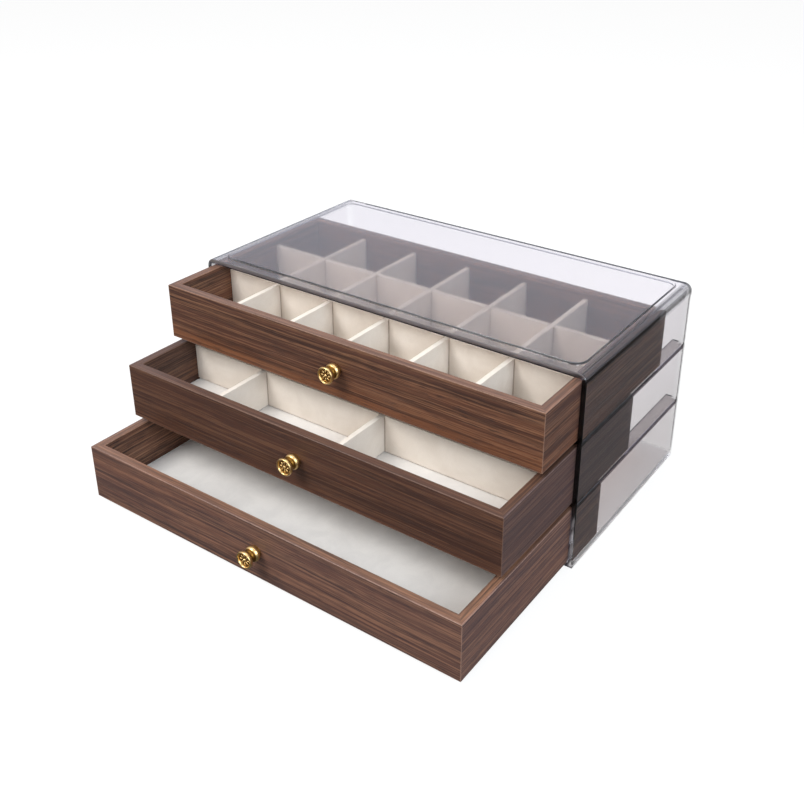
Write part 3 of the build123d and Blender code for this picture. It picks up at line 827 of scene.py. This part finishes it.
def brass(node):
    """Polished brass, tarnished in the waist and in the hollows between the knob's rim and its rosette."""
    low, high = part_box(node)
    material, tree = new_material("brass_" + node)
    place = put(tree, "ShaderNodeTexCoord").outputs["Object"]
    centred = stretched(tree, place, (1.0, 1.0, 1.0), (0.0, -low.y, -(low.z + high.z) / 2))
    x, depth, z = put(tree, "ShaderNodeSeparateXYZ", {0: centred}).outputs
    squares = maths(tree, "ADD", maths(tree, "MULTIPLY", x, x), maths(tree, "MULTIPLY", z, z))
    measures = {"depth": depth, "out": maths(tree, "SQRT", squares)}
    marks = put(tree, "ShaderNodeGroup", {"Place": place, "Smudge Size": KNOB_SMUDGE_SIZE}, node_tree=MARKS)
    tarnish = strongest(tree, zone(tree, measures, DISH_ZONE),
                        maths(tree, "MULTIPLY", zone(tree, measures, WAIST_ZONE), WAIST_TARNISH),
                        maths(tree, "MULTIPLY", marks.outputs["Smudge"], SMUDGE_TARNISH))
    lathe = noise(tree, stretched(tree, centred, LATHE_LINES), 1.0, 2.0)
    principled(tree, Base_Color=mixed(tree, tarnish, BRASS, BRASS_TARNISH), Metallic=1.0,
               Roughness=spread(tree, tarnish, 0.0, 1.0, *BRASS_ROUGHNESS),
               Normal=bumped(tree, lathe, LINE_RELIEF))
    return material


ROSETTE = rosette_tree()
for drawer in DRAWERS:
    node = f"{drawer}_knob"
    low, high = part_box(node)
    centre = Vector(((low.x + high.x) / 2, high.y, (low.z + high.z) / 2))
    metal = brass(node)
    body = show(f"{drawer}_knob_body", turned_knob(f"{drawer}_knob_body", centre, low.y), metal, 35.0)
    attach(body, f"{drawer}_drawer")
    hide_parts(node)
    middle = (centre.x, low.y + ROSETTE_DEPTH, centre.z)
    pressed = grown("rosette", ROSETTE, ROSETTE_SIZES | {"Middle": middle, "Metal": metal})
    rosette = show(f"{drawer}_knob_rosette", pressed, metal, 60.0)
    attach(rosette, f"{drawer}_drawer")


# A steel screw with a slotted pan head holds each knob. It is driven from inside the drawer, and its
# head sits in a counterbore of the front wall.
STEEL = shade(186, 188, 192)
STEEL_DULL = shade(128, 130, 134)
STEEL_ROUGHNESS = (0.28, 0.42)
STEEL_DULLED = 0.6
SCREW_SMUDGE_SIZE = 3 * MM
BRUSH_LINES = (400.0, 400.0, 9000.0)


def screw_steel():
    """Zinc-bright steel, finely brushed and a little dulled."""
    material, tree = new_material("screw_steel")
    place = put(tree, "ShaderNodeTexCoord").outputs["Object"]
    marks = put(tree, "ShaderNodeGroup", {"Place": place, "Smudge Size": SCREW_SMUDGE_SIZE}, node_tree=MARKS)
    brushed = noise(tree, stretched(tree, place, BRUSH_LINES), 1.0)
    dulled = maths(tree, "MULTIPLY", marks.outputs["Smudge"], STEEL_DULLED)
    principled(tree, Base_Color=mixed(tree, dulled, STEEL, STEEL_DULL), Metallic=1.0,
               Roughness=spread(tree, brushed, 0.3, 0.7, *STEEL_ROUGHNESS),
               Normal=bumped(tree, brushed, LINE_RELIEF))
    return material


SCREW_FINISH = screw_steel()
for drawer in DRAWERS:
    finish(f"{drawer}_knob_screw", SCREW_FINISH)


# The stage: a plain white floor that keeps the object's shadow, white all round, soft lamps, and the
# camera, above and to the right of the open drawers, with the frame's centre moved by its shift.
FLOOR_SIZE = 6.0
FLOOR_DROP = 0.2 * MM
PAPER = (shade(124, 124, 124), shade(130, 130, 130))
PAPER_GRAIN = 900.0
PAPER_GLOW = 0.84
PAPER_REFLECTED = 0.12
PAPER_SECOND_REFLECTION = 0.5
PAPER_BOUNCED = 0.06
# Painted shadow: the floor's glow is warmer and darker beneath the case.
PAPER_PAINTED_SHADOW = (0.92, 0.85, 0.82, 1.0)
PAINTED_SHADOW_ZONE = [("side", 0.0, 140.0, 115.0), ("depth", 0.0, 75.0, 50.0)]
ROOM_LEVEL = 0.51
ROOM_THROUGH_CASE = 0.03
ROOM_AFTER_GLOSS = 0.3
COOL_REFLECTION = (0.93, 0.96, 1.10, 1.0)
WHITE = (1.0, 1.0, 1.0, 1.0)
BLACK = (0.0, 0.0, 0.0, 1.0)
LAMPS_AIM = (0.0, -0.05, 0.05)
IMAGE_SIZE = 804.0
LENS_PIXELS = 1026.32
CENTRE_PIXEL = (430.0, 310.0)
CAMERA_PLACE = (0.33846, -0.51090, 0.38881)
CAMERA_YAW = 34.4311
CAMERA_PITCH = -25.3909
CAMERA_ROLL = 0.4388


def at_least_one(tree, depth):
    """1 for a ray that has bounced that way at least once, and 0 for any other."""
    return maths(tree, "MINIMUM", depth, 1.0)


def pale_floor():
    """White to the camera where nothing shades it, and a little darker beneath the case, where a shadow is
    painted into its glow. Its diffuse part carries the cast shadow. Reflections show it darker, as a
    polarising filter would leave them, and its glow hardly lights the drawers."""
    material, tree = new_material("pale_floor")
    place = put(tree, "ShaderNodeTexCoord").outputs["Object"]
    grain = noise(tree, place, PAPER_GRAIN, 2.0)
    path = put(tree, "ShaderNodeLightPath").outputs
    often = maths(tree, "GREATER_THAN", path["Glossy Depth"], 1.5)
    reflected = maths(tree, "SUBTRACT", at_least_one(tree, path["Glossy Depth"]),
                      maths(tree, "MULTIPLY", often, PAPER_SECOND_REFLECTION))
    colour = mixed(tree, spread(tree, grain, 0.3, 0.7), *PAPER)
    colour = mixed(tree, maths(tree, "MULTIPLY", reflected, 1.0 - PAPER_REFLECTED), colour, BLACK)
    seen = strongest(tree, path["Is Camera Ray"], path["Is Transmission Ray"], path["Is Glossy Ray"])
    shown = spread(tree, reflected, 0.0, 1.0, PAPER_GLOW, PAPER_GLOW * PAPER_REFLECTED)
    bounced = spread(tree, at_least_one(tree, path["Diffuse Depth"]), 0.0, 1.0, 1.0, PAPER_BOUNCED)
    glow = maths(tree, "MULTIPLY", maths(tree, "MULTIPLY", seen, shown), bounced)
    x, y, z = put(tree, "ShaderNodeSeparateXYZ", {0: place}).outputs
    measures = {"side": maths(tree, "ABSOLUTE", x), "depth": maths(tree, "ABSOLUTE", y)}
    painted_shadow = mixed(tree, zone(tree, measures, PAINTED_SHADOW_ZONE), WHITE, PAPER_PAINTED_SHADOW)
    principled(tree, Base_Color=colour, Roughness=0.9, Specular_IOR_Level=0.0, Emission_Color=painted_shadow,
               Emission_Strength=glow)
    return material


def white_room():
    """Soft light from all round, with plain white for whatever looks at it. Little of it reaches the
    drawers through the case."""
    world = bpy.data.worlds.new("white_room")
    world.use_nodes = True
    tree = world.node_tree
    tree.nodes.clear()
    path = put(tree, "ShaderNodeLightPath").outputs
    seen = strongest(tree, path["Is Camera Ray"], path["Is Transmission Ray"], path["Is Glossy Ray"])
    reflected = at_least_one(tree, path["Glossy Depth"])
    bounced = maths(tree, "MAXIMUM", at_least_one(tree, path["Diffuse Depth"]),
                    maths(tree, "MULTIPLY", reflected, ROOM_AFTER_GLOSS))
    inside = maths(tree, "MULTIPLY", path["Is Transmission Ray"], bounced)
    shown = spread(tree, inside, 0.0, 1.0, 1.0, ROOM_THROUGH_CASE)
    level = spread(tree, seen, 0.0, 1.0, ROOM_LEVEL, shown)
    colour = mixed(tree, reflected, WHITE, COOL_REFLECTION)
    shine = put(tree, "ShaderNodeBackground", {"Color": colour, "Strength": level})
    put(tree, "ShaderNodeOutputWorld", {"Surface": shine.outputs[0]})
    return world


def soft_lamp(name, place, size, watts, colour=(1.0, 1.0, 1.0)):
    """A square soft box at a place, turned to the object."""
    light = bpy.data.lights.new(name, "AREA")
    light.size = size
    light.energy = watts
    light.color = colour
    lamp = bpy.data.objects.new(name, light)
    bpy.context.scene.collection.objects.link(lamp)
    lamp.location = place
    lamp.rotation_euler = (Vector(LAMPS_AIM) - Vector(place)).to_track_quat("-Z", "Y").to_euler()


half = FLOOR_SIZE / 2
floor_corners = [(-half, -half, 0), (half, -half, 0), (half, half, 0), (-half, half, 0)]
floor_mesh = bpy.data.meshes.new("floor")
floor_mesh.from_pydata(floor_corners, [], [(0, 1, 2, 3)])
floor_mesh.materials.append(pale_floor())
floor = bpy.data.objects.new("floor", floor_mesh)
bpy.context.scene.collection.objects.link(floor)
floor.location.z = cad_low.z - FLOOR_DROP

bpy.context.scene.world = white_room()
soft_lamp("key", (-0.50, -1.10, 1.20), 0.7, 20.8)
soft_lamp("fill", (1.15, -0.55, 0.8), 0.8, 14.0, (0.80, 0.90, 1.0))
soft_lamp("top", (0.1, 0.3, 1.5), 0.9, 4.0, (0.94, 0.96, 1.0))

yaw, pitch, roll = (math.radians(a) for a in (CAMERA_YAW, CAMERA_PITCH, CAMERA_ROLL))
forward = Vector((-math.sin(yaw) * math.cos(pitch), math.cos(yaw) * math.cos(pitch), math.sin(pitch)))
level_right = Vector((math.cos(yaw), math.sin(yaw), 0.0))
level_up = level_right.cross(forward)
right = math.cos(roll) * level_right + math.sin(roll) * level_up
up = -math.sin(roll) * level_right + math.cos(roll) * level_up
camera_data = bpy.data.cameras.new("camera")
camera_data.lens = LENS_PIXELS / IMAGE_SIZE * camera_data.sensor_width
camera_data.shift_x = (IMAGE_SIZE / 2 - CENTRE_PIXEL[0]) / IMAGE_SIZE
camera_data.shift_y = (CENTRE_PIXEL[1] - IMAGE_SIZE / 2) / IMAGE_SIZE
camera_data.clip_start = 0.01
camera = bpy.data.objects.new("camera", camera_data)
bpy.context.scene.collection.objects.link(camera)
turn = Matrix((right, up, -forward)).transposed().to_4x4()
camera.matrix_world = Matrix.Translation(CAMERA_PLACE) @ turn
bpy.context.scene.camera = camera
bpy.context.scene.view_settings.view_transform = "Standard"
